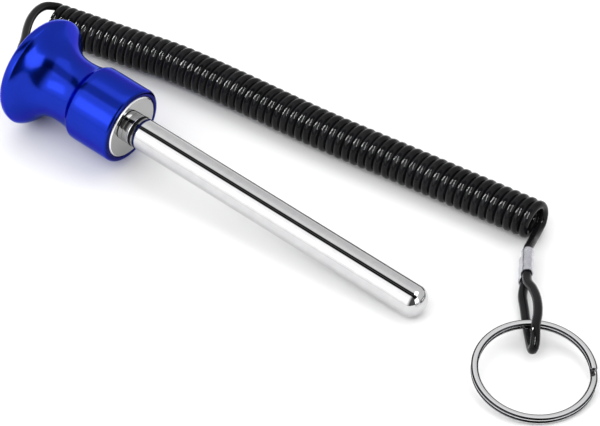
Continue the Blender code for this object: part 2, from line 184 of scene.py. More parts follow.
# %% Places along the cord
CORD_RADIUS = 1.75 * MM
CLEARANCE = 0.3 * MM
LEAD_ROUTE = [(-0.0048, 0.0002, 0.0226), (-0.0106, 0.0044, 0.0220), (-0.0153, 0.0116, 0.0209),
              (-0.0203, 0.0185, 0.0198), (-0.0244, 0.0252, 0.0186), (-0.0271, 0.0318, 0.0172),
              (-0.0278, 0.0376, 0.0156)]
COIL_ROUTE = [(-0.1177, 0.0395), (-0.0889, 0.0446), (-0.0639, 0.0492), (-0.0339, 0.0513),
              (0.0061, 0.0532), (0.0511, 0.0572), (0.1001, 0.0614)]
TAIL_ROUTE = [(0.1024, 0.0632, 0.0029), (0.1033, 0.0603, 0.0031), (0.1045, 0.0566, 0.0041),
              (0.1060, 0.0528, 0.0056)]
SLEEVE_BACK = Vector((0.1086, 0.0466, 0.0072))
SLEEVE_HEADING = Vector((0.549, -0.836, 0)).normalized()
SLEEVE_LENGTH = 12.0 * MM
SLEEVE_LEAN = math.radians(9)
SLEEVE_STRAIGHT = 1.5 * MM
STRAND_SPACING = 4.6 * MM
LOOP_ROUTE = [(0.1184, 0.0326, 0.0077), (0.1224, 0.0298, 0.0090), (0.1274, 0.0251, 0.0102),
              (0.1318, 0.0193, 0.0108), (0.1350, 0.0133, 0.0106), (0.1378, 0.0092, 0.0092),
              (0.1388, 0.0070, 0.0067), (0.1374, 0.0078, 0.0044), (0.1338, 0.0119, 0.0032),
              (0.1283, 0.0180, 0.0028), (0.1225, 0.0248, 0.0027), (0.1182, 0.0298, 0.0027)]
COIL_RADIUS = 7.9 * MM
COIL_LIFT = 0.1 * MM
COIL_END_GAP = 0.36 * MM
COIL_WINDS = 62
COIL_START = math.radians(28)
COIL_FINISH = math.radians(135)
COIL_AXIS_SPACING = 1.0 * MM
COIL_AXIS_FINE_SPACING = 0.5 * MM
FERRULE_REACH = 8.0 * MM
TURN_RADIUS = COIL_RADIUS - CORD_RADIUS
UP = Vector((0, 0, 1))
print("coil:", COIL_WINDS, "turns,", round(2 * COIL_RADIUS / MM, 1), "mm across")


def sleeve_frame():
    """The sleeve's ends on its upper strand, and its leaning direction from strand to strand."""
    side = UP.cross(SLEEVE_HEADING)
    lean = UP * math.cos(SLEEVE_LEAN) + side * math.sin(SLEEVE_LEAN)
    return SLEEVE_BACK, SLEEVE_BACK + SLEEVE_HEADING * SLEEVE_LENGTH, lean


def lead_places():
    """From the ferrule inside the knob, out through its back and over to the coil."""
    inside = PIN_FRAME @ Vector((0, 0, CAVITY_END + FERRULE_REACH))
    wall = PIN_FRAME @ Vector((0, 0, (CAVITY_END + BACK) / 2))
    leave = PIN_FRAME @ Vector((0, 0, BACK))
    return [inside, wall, leave] + [Vector((leave.x + x, leave.y + y, z)) for x, y, z in LEAD_ROUTE]


def loop_places():
    """From the coil's end through the sleeve, round the split ring and back into the sleeve."""
    back, front, lean = sleeve_frame()
    drop = lean * STRAND_SPACING
    straight = SLEEVE_HEADING * SLEEVE_STRAIGHT
    places = [Vector(p) for p in TAIL_ROUTE] + [back - straight, back, front, front + straight]
    places += [Vector(p) for p in LOOP_ROUTE]
    return places + [front - drop + straight, front - drop, back - drop + SLEEVE_HEADING * CLEARANCE]


def coil_places(per_turn):
    """The helix, from the lead's side of its first turn to where the tail leaves its last one."""
    height = COIL_RADIUS + COIL_LIFT
    middle = smooth_route([(x, y, height) for x, y in COIL_ROUTE], COIL_AXIS_SPACING)
    reach = CORD_RADIUS + COIL_END_GAP
    first = Vector(middle[0]) + (Vector(middle[0]) - Vector(middle[1])).normalized() * reach
    last = Vector(middle[-1]) + (Vector(middle[-1]) - Vector(middle[-2])).normalized() * reach
    middle = smooth_route([first] + list(middle[1:-1]) + [last], COIL_AXIS_FINE_SPACING, 4)
    turning = 2 * math.pi * COIL_WINDS + COIL_FINISH - COIL_START
    count = round(turning / (2 * math.pi) * per_turn)
    places = []
    for i in range(count + 1):
        at = (len(middle) - 1) * i / count
        low = min(int(at), len(middle) - 2)
        here = Vector(middle[low]).lerp(Vector(middle[low + 1]), at - low)
        along = (Vector(middle[low + 1]) - Vector(middle[low])).normalized()
        angle = COIL_START + turning * i / count
        places.append(here + (UP * math.cos(angle) + UP.cross(along) * math.sin(angle)) * TURN_RADIUS)
    return places


# %% One smooth line for the whole cord
CORD_SPACING = 1.4 * MM
TURN_PLACES = 12

coil = coil_places(TURN_PLACES)
cord_line = smooth_route(lead_places() + coil + loop_places(), CORD_SPACING)
cord_length = float(np.linalg.norm(np.diff(cord_line, axis=0), axis=1).sum())
print("cord:", len(cord_line), "points,", round(cord_length, 3), "m long")

# %% [markdown]
# ## The cord as a mesh
# A curve with a round bevel is the simplest tube. It is turned into a mesh and its ends are capped.
# The coil stretches when the split ring is pulled away, so a share that grows along the coil, from
# the knob's end to the cord's far end, is worked out for each ring of the tube. For a moment every
# ring is drawn together at its place on the coil's straight axis, and then the round shape is put back.

# %% Tube and its shares along the coil
CORD_BEVEL = 4


def tube_mesh(name, line, radius, bevel):
    """An open mesh tube along a line. Its points go ring by ring."""
    curve = bpy.data.curves.new(name, 'CURVE')
    curve.dimensions = '3D'
    curve.bevel_depth = radius
    curve.bevel_resolution = bevel
    spline = curve.splines.new('POLY')
    spline.points.add(len(line) - 1)
    spline.points.foreach_set("co", np.hstack([line, np.ones((len(line), 1))]).ravel())
    holder = bpy.data.objects.new(name, curve)
    bpy.context.scene.collection.objects.link(holder)
    bpy.context.view_layer.update()
    evaluated = holder.evaluated_get(bpy.context.evaluated_depsgraph_get())
    mesh = bpy.data.meshes.new_from_object(evaluated)
    bpy.data.objects.remove(holder)
    mesh.name = name
    return mesh


def close_ends(mesh):
    """Caps on a tube's two open ends, with every face pointing outwards."""
    bm = bmesh.new()
    bm.from_mesh(mesh)
    bmesh.ops.holes_fill(bm, edges=[e for e in bm.edges if e.is_boundary], sides=0)
    bmesh.ops.recalc_face_normals(bm, faces=bm.faces)
    bm.to_mesh(mesh)
    bm.free()


def add_piece(name, mesh):
    """Links a finished mesh as a piece, its object at the origin."""
    made = bpy.data.objects.new(name, mesh)
    bpy.context.scene.collection.objects.link(made)
    return made


cord_mesh = tube_mesh("curly_cord", cord_line, CORD_RADIUS, CORD_BEVEL)
close_ends(cord_mesh)
curly_cord = add_piece("curly_cord", cord_mesh)
round_shape = np.zeros(len(cord_mesh.vertices) * 3, np.float32)
cord_mesh.vertices.foreach_get("co", round_shape)
ring_size = len(cord_mesh.vertices) // len(cord_line)

along = np.concatenate([[0], np.cumsum(np.linalg.norm(np.diff(cord_line, axis=0), axis=1))])
to_coil = along[np.argmin(np.linalg.norm(cord_line - np.array(coil[0]), axis=1))]
past_coil = along[np.argmin(np.linalg.norm(cord_line - np.array(coil[-1]), axis=1))]
share = np.clip((along - to_coil) / (past_coil - to_coil), 0, 1)
STRETCH_START = Vector((*COIL_ROUTE[0], COIL_RADIUS))
STRETCH_END = Vector((*COIL_ROUTE[-1], COIL_RADIUS))
gathered = np.array(STRETCH_START) + share[:, None] * np.array(STRETCH_END - STRETCH_START)
cord_mesh.vertices.foreach_set("co", np.repeat(gathered, ring_size, axis=0).astype(np.float32).ravel())
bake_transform(curly_cord)
cord_mesh.vertices.foreach_set("co", round_shape)
cord_mesh.shade_smooth()
cord_mesh.update()
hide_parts("lanyard_lead", "lanyard_coil", "lanyard_loop")
print("cord mesh:", len(cord_mesh.vertices), "points,", ring_size, "to a ring")

# %% [markdown]
# ## Turned pieces
# A lathe makes these pieces, and Blender's spin does the same: an outline of radius and station pairs
# is carried once round the pin axis. The seam and the poles are merged, and the faces are pointed
# outwards. Corners that a lathe would break by hand are drawn as small arcs in the outline.

# %% Spin helper
SPIN_STEPS = 128
SHARP = math.radians(32)


def spun(name, outline, closed=True, steps=SPIN_STEPS):
    """A turned piece round the pin axis, from radius and station pairs."""
    bm = bmesh.new()
    points = [bm.verts.new((r, 0, s)) for r, s in outline]
    edges = [bm.edges.new(pair) for pair in zip(points, points[1:])]
    if closed:
        edges.append(bm.edges.new((points[-1], points[0])))
    bmesh.ops.spin(bm, geom=points + edges, cent=(0, 0, 0), axis=(0, 0, 1), angle=2 * math.pi,
                   steps=steps, use_merge=True)
    bmesh.ops.remove_doubles(bm, verts=bm.verts, dist=0.001 * MM)
    bmesh.ops.recalc_face_normals(bm, faces=bm.faces)
    bmesh.ops.transform(bm, matrix=PIN_FRAME, verts=bm.verts)
    mesh = bpy.data.meshes.new(name)
    bm.to_mesh(mesh)
    bm.free()
    mesh.shade_smooth()
    mesh.set_sharp_from_angle(angle=SHARP)
    made = add_piece(name, mesh)
    print(name + ":", len(mesh.polygons), "faces")
    return made


# %% [markdown]
# ## The pin
# A ground and chromed steel bar with a domed tip. It has a groove for the rubber ring, a collar of
# full thickness between the groove and the magnet, a slightly thinner neck inside the magnet, and a
# stud that screws into the knob. Stacked cylinders would need joining; one outline has it all. Its
# stations are counted from the magnet's face towards the tip, and its mirror finish needs truly
# smooth edges, so each corner is a small arc.

# %% Pin
PIN_RADIUS = 6.35 * MM
PIN_LENGTH = 139.7 * MM
TIP_DOME = 5.2 * MM
COLLAR_LENGTH = 2.8 * MM
GROOVE_DEPTH = 0.9 * MM
GROOVE_WIDTH = 1.3 * MM
NECK_RADIUS = 6.0 * MM
MAGNET_THICKNESS = 6.0 * MM
STUD_RADIUS = 5.0 * MM
STUD_END = -24.0 * MM
STUD_CHAMFER = 0.8 * MM
PIN_EDGE_BREAK = 0.12 * MM
DOME_STEPS = 24
EDGE_STEPS = 4


def cylinder_points(radius, first, last, count):
    """Points along a cylinder between two stations, without the end ones."""
    return [(radius, station) for station in np.linspace(first, last, count)[1:-1]]


def pin_edge(station, start, end):
    """A small broken edge of the pin, between two angles in degrees."""
    middle = PIN_RADIUS - PIN_EDGE_BREAK
    return arc(middle, station, PIN_EDGE_BREAK, PIN_EDGE_BREAK, start, end, EDGE_STEPS)


def make_pin():
    """The whole pin, from the top of its dome back to the end of its stud."""
    groove = PIN_RADIUS - GROOVE_DEPTH
    dome = PIN_LENGTH - TIP_DOME
    shank_start = COLLAR_LENGTH + GROOVE_WIDTH
    outline = arc(0, dome, PIN_RADIUS, TIP_DOME, 90, 0, DOME_STEPS)
    outline[0] = (0, PIN_LENGTH)
    outline += cylinder_points(PIN_RADIUS, dome, shank_start, 12)
    outline += pin_edge(shank_start + PIN_EDGE_BREAK, 0, -90)
    outline += [(groove, shank_start), (groove, COLLAR_LENGTH)]
    outline += pin_edge(COLLAR_LENGTH - PIN_EDGE_BREAK, 90, 0)
    outline += pin_edge(PIN_EDGE_BREAK, 0, -90)
    outline += [(NECK_RADIUS, 0), (NECK_RADIUS, -MAGNET_THICKNESS), (STUD_RADIUS, -MAGNET_THICKNESS)]
    outline += [(STUD_RADIUS, STUD_END + STUD_CHAMFER), (STUD_RADIUS - STUD_CHAMFER, STUD_END)]
    outline += [(0, STUD_END)]
    return spun("chrome_pin", outline, closed=False)


chrome_pin = make_pin()
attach(chrome_pin, "pin_and_knob")
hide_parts("hitch_pin")

# %% [markdown]
# ## The grip knob
# One piece of aluminium, turned and then anodised. Its barrel ends in a soft shoulder, a waist gives
# the fingers a hold, and a wide flare is what they pull on. Subdivision could round a coarse cage,
# but it moves every edge a little; Bezier curves between named radii keep the true sizes. The outline
# runs from the front rim over the outside to the back, then through the cord hole, the cavity and the
# magnet's pocket.

# %% Knob
BARREL_RADIUS = 15.6 * MM
BARREL_ROUNDING = 1.6 * MM
SHOULDER_CHAMFER = 1.3 * MM
SHOULDER_STEP = 0.9 * MM
WAIST_RADIUS = 13.1 * MM
FLARE_RADIUS = 22.45 * MM
FLARE_LIP = 2.3 * MM
RIM_ROUNDING = 3.4 * MM
BACK_FULLNESS = 0.8
CORD_HOLE_MOUTH = 1.2 * MM
MAGNET_RADIUS = 13.0 * MM
POCKET_SEAT = -8.6 * MM
POCKET_EDGE_BREAK = 0.3 * MM
CROWN_STEPS = 10


def knob_outside():
    """The knob's outline over its barrel, shoulder, waist and flare, as far as its back."""
    under = BARREL_RADIUS - SHOULDER_STEP
    neck_top = SHOULDER - SHOULDER_CHAMFER
    outline = arc(BARREL_RADIUS - BARREL_ROUNDING, RIM_FRONT - BARREL_ROUNDING,
                  BARREL_ROUNDING, BARREL_ROUNDING, 90, 0, 12)
    outline += cylinder_points(BARREL_RADIUS, outline[-1][1], SHOULDER, 8)
    outline += bezier([(BARREL_RADIUS, SHOULDER + 0.5 * MM), (BARREL_RADIUS, SHOULDER - 0.1 * MM),
                       (under + 0.3 * MM, neck_top + 0.5 * MM), (under, neck_top)], 8)
    outline += bezier([(under, neck_top), (WAIST_RADIUS + 0.2 * MM, neck_top - 1.5 * MM),
                       (WAIST_RADIUS, WAIST + 2.5 * MM), (WAIST_RADIUS, WAIST)], 20)
    outline += bezier([(WAIST_RADIUS, WAIST), (WAIST_RADIUS, WAIST - 0.69 * FLARE_FROM_WAIST),
                       (FLARE_RADIUS - FLARE_LIP, FLARE + 0.29 * FLARE_FROM_WAIST),
                       (FLARE_RADIUS, FLARE)], 36)
    outline += arc(FLARE_RADIUS - RIM_ROUNDING, FLARE, RIM_ROUNDING, RIM_THICKNESS, 0, -90, 20)[1:]
    return outline


def make_knob():
    """The whole knob: its outside, the crowned back, and the hole, cavity, bore and pocket."""
    hole = CORD_RADIUS + CLEARANCE
    bore = STUD_RADIUS + CLEARANCE
    pocket = MAGNET_RADIUS + CLEARANCE
    mouth = hole + CORD_HOLE_MOUTH
    back_radius = FLARE_RADIUS - RIM_ROUNDING
    outline = knob_outside()
    for i in range(1, CROWN_STEPS):
        radius = back_radius + (mouth - back_radius) * i / CROWN_STEPS
        crown = BACK_CROWN * (1 - (radius / back_radius) ** 2) ** BACK_FULLNESS
        outline.append((radius, BACK_EDGE - crown))
    outline += arc(mouth, BACK + CORD_HOLE_MOUTH, CORD_HOLE_MOUTH, CORD_HOLE_MOUTH, 270, 180, 8)
    outline += [(hole, CAVITY_END), (bore, CAVITY_END), (bore, POCKET_SEAT), (pocket, POCKET_SEAT)]
    outline += arc(pocket + POCKET_EDGE_BREAK, RIM_FRONT - POCKET_EDGE_BREAK,
                   POCKET_EDGE_BREAK, POCKET_EDGE_BREAK, 180, 90, EDGE_STEPS)
    return spun("blue_knob", outline)


blue_knob = make_knob()
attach(blue_knob, "pin_and_knob")
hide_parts("grip_knob")

# %% [markdown]
# ## Magnet and rubber ring
# The magnet is a flat ring with a small chamfer, plated bright nickel, and it stands a hair proud of
# the knob's rim. The rubber ring sits in the pin's groove, squeezed to the groove's width, and keeps
# the pin from rattling. A Bevel modifier and a torus could make them, but the spin helper is already
# there, and it gives both the same axis as the pin.

# %% Magnet
MAGNET_CHAMFER = 0.5 * MM
MAGNET_BORE_GAP = 0.04 * MM
MAGNET_EDGE = 0.12 * MM
MAGNET_EDGE_SAG = 0.3


def make_magnet():
    """The flat ring, its chamfer and its bore, with every edge a little broken."""
    inner = NECK_RADIUS + MAGNET_BORE_GAP
    sag = MAGNET_EDGE_SAG * MAGNET_EDGE
    flat_end = MAGNET_RADIUS - MAGNET_CHAMFER
    outline = [(inner + MAGNET_EDGE, 0), (flat_end - MAGNET_EDGE, 0)]
    outline += [(flat_end, -sag), (MAGNET_RADIUS - sag, -MAGNET_CHAMFER)]
    outline += [(MAGNET_RADIUS, -MAGNET_CHAMFER - MAGNET_EDGE), (MAGNET_RADIUS, -MAGNET_THICKNESS)]
    outline += [(inner, -MAGNET_THICKNESS), (inner, -MAGNET_EDGE)]
    return spun("nickel_magnet", outline)


nickel_magnet = make_magnet()
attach(nickel_magnet, "pin_and_knob")
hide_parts("ring_magnet")

# %% Rubber ring
RUBBER_RADIUS = 0.35 * MM
RUBBER_SIDE_GAP = 0.02 * MM
RUBBER_SIDES = 24


def make_rubber_ring():
    """A thin ring that nearly fills the groove from wall to wall."""
    middle = PIN_RADIUS - GROOVE_DEPTH + CLEARANCE + RUBBER_RADIUS
    station = COLLAR_LENGTH + GROOVE_WIDTH / 2
    squeezed = GROOVE_WIDTH / 2 - RUBBER_SIDE_GAP
    last = 360 - 360 / RUBBER_SIDES
    return spun("rubber_ring", arc(middle, station, RUBBER_RADIUS, squeezed, 0, last, RUBBER_SIDES - 1))


rubber_ring = make_rubber_ring()
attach(rubber_ring, "pin_and_knob")
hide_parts("anti_rattle_ring")

# %% [markdown]
# ## The crimped sleeve
# A short aluminium tube squeezed round both strands. Bending a flat strip would leave a seam to hide,
# and a Boolean cut would leave an uneven wall. So a circle is pulled apart into a slot shape, pinched
# between the strands and set along them in rings, which are bridged. The rings are drawn in a little
# where the crimping tool bit, and rounded off at the mouths.

# %% Sleeve
SLEEVE_WALL = 0.45 * MM
SLEEVE_SIDES = 64
SLEEVE_RINGS = 24
MOUTH_ROUNDING = 0.15 * MM
CRIMP_DEPTH = 0.16 * MM
CRIMP_PLACES = (0.27, 0.73)
CRIMP_REACH = 0.11
SLOT_SPREAD = 3
PINCH = 0.3
PINCH_REACH = 1.2 * MM


def crimp_profile(share):
    """How far the sleeve's outside is drawn in, at a share of its length."""
    bites = sum(math.exp(-((share - centre) / CRIMP_REACH) ** 2) for centre in CRIMP_PLACES)
    return CRIMP_DEPTH * bites


def slot_ring(bm, radius, squeeze):
    """A slot-shaped ring of points round two strands, pinched in its middle."""
    made = bmesh.ops.create_circle(bm, cap_ends=False, radius=radius, segments=SLEEVE_SIDES,
                                   matrix=Matrix.Rotation(math.pi / SLEEVE_SIDES, 4, 'Z'))["verts"]
    for vert in made:
        vert.co.x *= (radius - squeeze) / radius
        vert.co.y += STRAND_SPACING / 2 * math.tanh(SLOT_SPREAD * vert.co.y / radius)
        vert.co.x *= 1 - PINCH * math.exp(-(vert.co.y / PINCH_REACH) ** 2)
    return made


def make_sleeve():
    """The crimped tube: outside rings from back to front, then inside rings from front to back."""
    back, front, lean = sleeve_frame()
    inner = CORD_RADIUS + CLEARANCE
    bm = bmesh.new()
    loops = []
    for i in range(SLEEVE_RINGS + 1):
        share = i / SLEEVE_RINGS
        rounding = max(0, 1 - min(share, 1 - share) * SLEEVE_RINGS) * MOUTH_ROUNDING
        ring = slot_ring(bm, inner + SLEEVE_WALL, crimp_profile(share) + rounding)
        loops.append((ring, share))
    for share in (1.0, 0.5, 0.0):
        loops.append((slot_ring(bm, inner, 0), share))
    for ring, share in loops:
        bmesh.ops.translate(bm, verts=ring, vec=(0, 0, (share - 0.5) * SLEEVE_LENGTH))
    rims = [[e for e in bm.edges if e.verts[0] in set(ring)] for ring, share in loops]
    for first, second in zip(rims, rims[1:] + rims[:1]):
        bmesh.ops.bridge_loops(bm, edges=first + second)
    bmesh.ops.recalc_face_normals(bm, faces=bm.faces)
    side = lean.cross(SLEEVE_HEADING)
    turn = Matrix((side, lean, SLEEVE_HEADING)).transposed().to_4x4()
    middle = (back + front) / 2 - lean * STRAND_SPACING / 2
    bmesh.ops.transform(bm, matrix=Matrix.Translation(middle) @ turn, verts=bm.verts)
    mesh = bpy.data.meshes.new("crimped_sleeve")
    bm.to_mesh(mesh)
    bm.free()
    mesh.shade_smooth()
    mesh.set_sharp_from_angle(angle=SHARP)
    return add_piece("crimped_sleeve", mesh)


crimped_sleeve = make_sleeve()
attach(crimped_sleeve, "cord_end")
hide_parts("crimp_sleeve")
print("sleeve:", len(crimped_sleeve.data.polygons), "faces")

# %% [markdown]
# ## The split ring
# One flat spring wire wound round twice. A bevelled curve would twist the wire's flat section, so the
# section is extruded in small turning steps instead. Where the two turns would meet, the wire passes
# from the upper layer to the lower one, and a short gap shows where one end lies beside that
# crossing. Each point of the section also says whether it lies on a shoulder of the wire, where the
# material paints a dark reflection.

# %% Split ring
KEY_RING_DIAMETER = 45.5 * MM
KEY_WIRE_WIDTH = 2.7 * MM
KEY_WIRE_THICKNESS = 1.35 * MM
WIRE_FULLNESS = 0.9
WIRE_SIDES = 24
WIRE_QUARTER = WIRE_SIDES // 4
SHOULDER_POINTS = [(1, 2, 3), (2, 3, 4)]
KEY_RING_TILT = math.radians(7.0)
KEY_RING_RISE = math.radians(149.1)
KEY_RING_SPLIT = math.radians(30.0)
KEY_RING_END_GAP = math.radians(11.0)
KEY_RING_CENTRE = Vector((144.3, -0.5, 0)) * MM
KEY_RING_STEPS = 240


def key_ring_matrix():
    """The ring's frame: its lower edge on the surface, its far side raised by the strand."""
    rise = Vector((math.cos(KEY_RING_RISE), math.sin(KEY_RING_RISE), 0))
    half = KEY_WIRE_THICKNESS + CLEARANCE / 2
    height = KEY_RING_DIAMETER / 2 * math.sin(KEY_RING_TILT) + half * math.cos(KEY_RING_TILT)
    place = Matrix.Translation(KEY_RING_CENTRE + Vector((0, 0, height)))
    return place @ Matrix.Rotation(-KEY_RING_TILT, 4, UP.cross(rise))


def wire_layer(angle):
    """The wire's height in its two-turn path, from the upper layer to the lower one."""
    offset = (KEY_WIRE_THICKNESS + CLEARANCE) / 2
    share = (angle - 2 * math.pi + KEY_RING_END_GAP) / (2 * KEY_RING_END_GAP)
    share = min(1.0, max(0.0, share))
    return offset * (1 - 2 * share * share * (3 - 2 * share))


def wire_section():
    """The wire's crowned section, as radial and vertical offsets: an ellipse with full corners."""
    points = []
    for i in range(WIRE_SIDES):
        angle = 2 * math.pi * (i + 0.5) / WIRE_SIDES
        x, z = math.cos(angle), math.sin(angle)
        points.append((math.copysign(abs(x) ** WIRE_FULLNESS, x) * KEY_WIRE_WIDTH / 2,
                       math.copysign(abs(z) ** WIRE_FULLNESS, z) * KEY_WIRE_THICKNESS / 2))
    return points


def make_split_ring():
    """Both turns of the wire as one mesh, with its shoulder points marked for the painted dark
    reflection.
    """
    bm = bmesh.new()
    middle = (KEY_RING_DIAMETER - KEY_WIRE_WIDTH) / 2
    level = wire_layer(KEY_RING_END_GAP)
    face = bm.faces.new([bm.verts.new((middle + x, 0, z + level)) for x, z in wire_section()])
    shoulder = bm.verts.layers.float.new("shoulder")
    for i, vert in enumerate(face.verts):
        vert[shoulder] = float(i % WIRE_QUARTER in SHOULDER_POINTS[i // WIRE_QUARTER % 2])
    bmesh.ops.rotate(bm, verts=bm.verts, matrix=Matrix.Rotation(KEY_RING_END_GAP, 3, 'Z'))
    stride = (4 * math.pi - 2 * KEY_RING_END_GAP) / KEY_RING_STEPS
    for i in range(1, KEY_RING_STEPS + 1):
        last = face
        grown = bmesh.ops.extrude_face_region(bm, geom=[last])["geom"]
        if i > 1:
            bmesh.ops.delete(bm, geom=[last], context='FACES_ONLY')
        tip = [v for v in grown if isinstance(v, bmesh.types.BMVert)]
        face = next(f for f in grown if isinstance(f, bmesh.types.BMFace))
        lift = wire_layer(KEY_RING_END_GAP + i * stride) - level
        level += lift
        bmesh.ops.rotate(bm, verts=tip, matrix=Matrix.Rotation(stride, 3, 'Z'))
        bmesh.ops.translate(bm, verts=tip, vec=(0, 0, lift))
    bmesh.ops.rotate(bm, verts=bm.verts, matrix=Matrix.Rotation(KEY_RING_SPLIT, 3, 'Z'))
    bmesh.ops.recalc_face_normals(bm, faces=bm.faces)
    bmesh.ops.transform(bm, matrix=key_ring_matrix(), verts=bm.verts)
    mesh = bpy.data.meshes.new("key_split_ring")
    bm.to_mesh(mesh)
    bm.free()
    mesh.shade_smooth()
    mesh.set_sharp_from_angle(angle=SHARP)
    return add_piece("key_split_ring", mesh)


key_split_ring = make_split_ring()
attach(key_split_ring, "key_ring")
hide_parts("split_ring")
print("split ring:", len(key_split_ring.data.polygons), "faces")

# %% [markdown]
# ## Finishes
# Each finish is a Principled shader with detail worked out from Object coordinates, at the real size
# of polishing marks, turning marks and scuffs. Image textures would need unwrapping and files; noise
# needs neither. A number that is the same all over is set on the shader's own socket, and only what
# varies is linked. A noise is given by its scale, detail and roughness; its middle values are the
# ones spread over a range of colours or of roughness.

# %% Material helpers
def new_finish(name, metallic, roughness):
    """A new material, with its node tree's nodes and links and its Principled shader."""
    material = bpy.data.materials.new(name)
    material.use_nodes = True
    nodes = material.node_tree.nodes
    shader = nodes["Principled BSDF"]
    shader.inputs["Metallic"].default_value = metallic
    shader.inputs["Roughness"].default_value = roughness
    return material, nodes, material.node_tree.links, shader


def pin_coordinates(nodes, links, stretch):
    """Object coordinates turned into the pin's frame, then stretched: X and Y across it, Z along it."""
    coordinates = nodes.new("ShaderNodeTexCoord")
    turn = nodes.new("ShaderNodeMapping")
    turn.vector_type = 'TEXTURE'
    turn.inputs["Location"].default_value = PIN_FRAME.to_translation()
    turn.inputs["Rotation"].default_value = PIN_FRAME.to_euler()
    scale = nodes.new("ShaderNodeMapping")
    scale.inputs["Scale"].default_value = stretch
    links.new(coordinates.outputs["Object"], turn.inputs["Vector"])
    links.new(turn.outputs["Vector"], scale.inputs["Vector"])
    return scale.outputs["Vector"]


def plain_coordinates(nodes):
    """Object coordinates as they are, in metres."""
    return nodes.new("ShaderNodeTexCoord").outputs["Object"]


def noise(nodes, links, vector, scale, detail=3, roughness=0.5):
    """A noise between 0 and 1, mostly near its middle."""
    made = nodes.new("ShaderNodeTexNoise")
    made.inputs["Scale"].default_value = scale
    made.inputs["Detail"].default_value = detail
    made.inputs["Roughness"].default_value = roughness
    links.new(vector, made.inputs["Vector"])
    return made.outputs["Fac"]


def ranged(nodes, links, value, low, high, to_low, to_high):
    """A value between low and high, spread over a new range."""
    made = nodes.new("ShaderNodeMapRange")
    made.inputs["From Min"].default_value = low
    made.inputs["From Max"].default_value = high
    made.inputs["To Min"].default_value = to_low
    made.inputs["To Max"].default_value = to_high
    links.new(value, made.inputs["Value"])
    return made.outputs["Result"]


def colour_between(nodes, links, value, first, second, low=0.35, high=0.65):
    """The first colour where the value is low, the second where it is high, and a blend between."""
    made = nodes.new("ShaderNodeValToRGB")
    made.color_ramp.elements[0].position = low
    made.color_ramp.elements[0].color = (*first, 1)
    made.color_ramp.elements[1].position = high
    made.color_ramp.elements[1].color = (*second, 1)
    links.new(value, made.inputs["Fac"])
    return made.outputs["Color"]


def bumped(nodes, links, shader, height, strength, distance):
    """Fine relief on a shader, from a height and the depth that it stands for."""
    made = nodes.new("ShaderNodeBump")
    made.inputs["Strength"].default_value = strength
    made.inputs["Distance"].default_value = distance
    links.new(height, made.inputs["Height"])
    links.new(made.outputs["Normal"], shader.inputs["Normal"])


def paint(piece, material):
    """Gives a piece its one material."""
    piece.data.materials.clear()
    piece.data.materials.append(material)
    print(piece.name, "is finished in", material.name)


# %% [markdown]
# ## Blue anodising
# Anodising grows a hard clear layer on aluminium and dyes it, so the metal shows through the blue. A
# blue paint would look flat. A metallic shader with a deep blue base, a blue edge tint and a thin
# clear coat gives the glow of dyed metal. Noise that is stretched round the axis stands for turning
# marks, and painted shade turns the front rim nearly black.

# %% Blue anodised aluminium
# Where painted shade darkens the front rim, and how much of the blue is left there.
RIM_SHADE_START = RIM_FRONT - 0.9 * MM
RIM_SHADE_END = RIM_FRONT - 0.1 * MM
RIM_SHADE_LEFT = 0.15


def blue_anodising():
    """Blue dye under a clear seal, with turning marks round the axis and painted shade on the front rim.
    """
    material, nodes, links, shader = new_finish("blue_anodising", 1.0, 0.3)
    shader.inputs["Specular Tint"].default_value = (0.25, 0.40, 1.0, 1)
    shader.inputs["Coat Weight"].default_value = 0.2
    shader.inputs["Coat Roughness"].default_value = 0.12
    around = pin_coordinates(nodes, links, (1, 1, 60))
    turning = noise(nodes, links, around, 90, 4, 0.6)
    cloud = noise(nodes, links, plain_coordinates(nodes), 60, 4)
    tone = colour_between(nodes, links, cloud, (0.002, 0.021, 0.37), (0.003, 0.024, 0.42))
    # Painted shade: the base colour turns nearly black towards the front rim.
    station = nodes.new("ShaderNodeSeparateXYZ")
    links.new(pin_coordinates(nodes, links, (1, 1, 1)), station.inputs["Vector"])
    rim = ranged(nodes, links, station.outputs["Z"], RIM_SHADE_START, RIM_SHADE_END, 1, RIM_SHADE_LEFT)
    rim_painted_shade = nodes.new("ShaderNodeMix")
    rim_painted_shade.data_type = 'RGBA'
    rim_painted_shade.inputs["A"].default_value = (0.001, 0.004, 0.05, 1)
    links.new(rim, rim_painted_shade.inputs["Factor"])
    links.new(tone, rim_painted_shade.inputs["B"])
    links.new(rim_painted_shade.outputs["Result"], shader.inputs["Base Color"])
    links.new(ranged(nodes, links, turning, 0.3, 0.7, 0.20, 0.26), shader.inputs["Roughness"])
    bumped(nodes, links, shader, turning, 0.12, 0.02 * MM)
    return material


paint(blue_knob, blue_anodising())

# %% [markdown]
# ## Chrome
# The pin is ground and plated, so it is a mirror with faint lines along it and light handling scuffs.
# A perfect mirror looks false. The lines are a noise stretched along the pin, in the bump only, and
# the scuffs change its tone and its roughness a little.

# %% Chrome plating
def polished_chrome():
    """Mirror-bright plating, with faint lines along the pin and light scuffs."""
    material, nodes, links, shader = new_finish("polished_chrome", 1.0, 0.05)
    lines = noise(nodes, links, pin_coordinates(nodes, links, (40, 40, 1)), 45, 4, 0.6)
    scuffs = noise(nodes, links, plain_coordinates(nodes), 220, 5, 0.7)
    links.new(colour_between(nodes, links, scuffs, (0.58, 0.58, 0.59), (0.63, 0.63, 0.635)),
              shader.inputs["Base Color"])
    links.new(ranged(nodes, links, scuffs, 0.35, 0.75, 0.03, 0.09), shader.inputs["Roughness"])
    bumped(nodes, links, shader, lines, 0.05, 0.01 * MM)
    return material


paint(chrome_pin, polished_chrome())
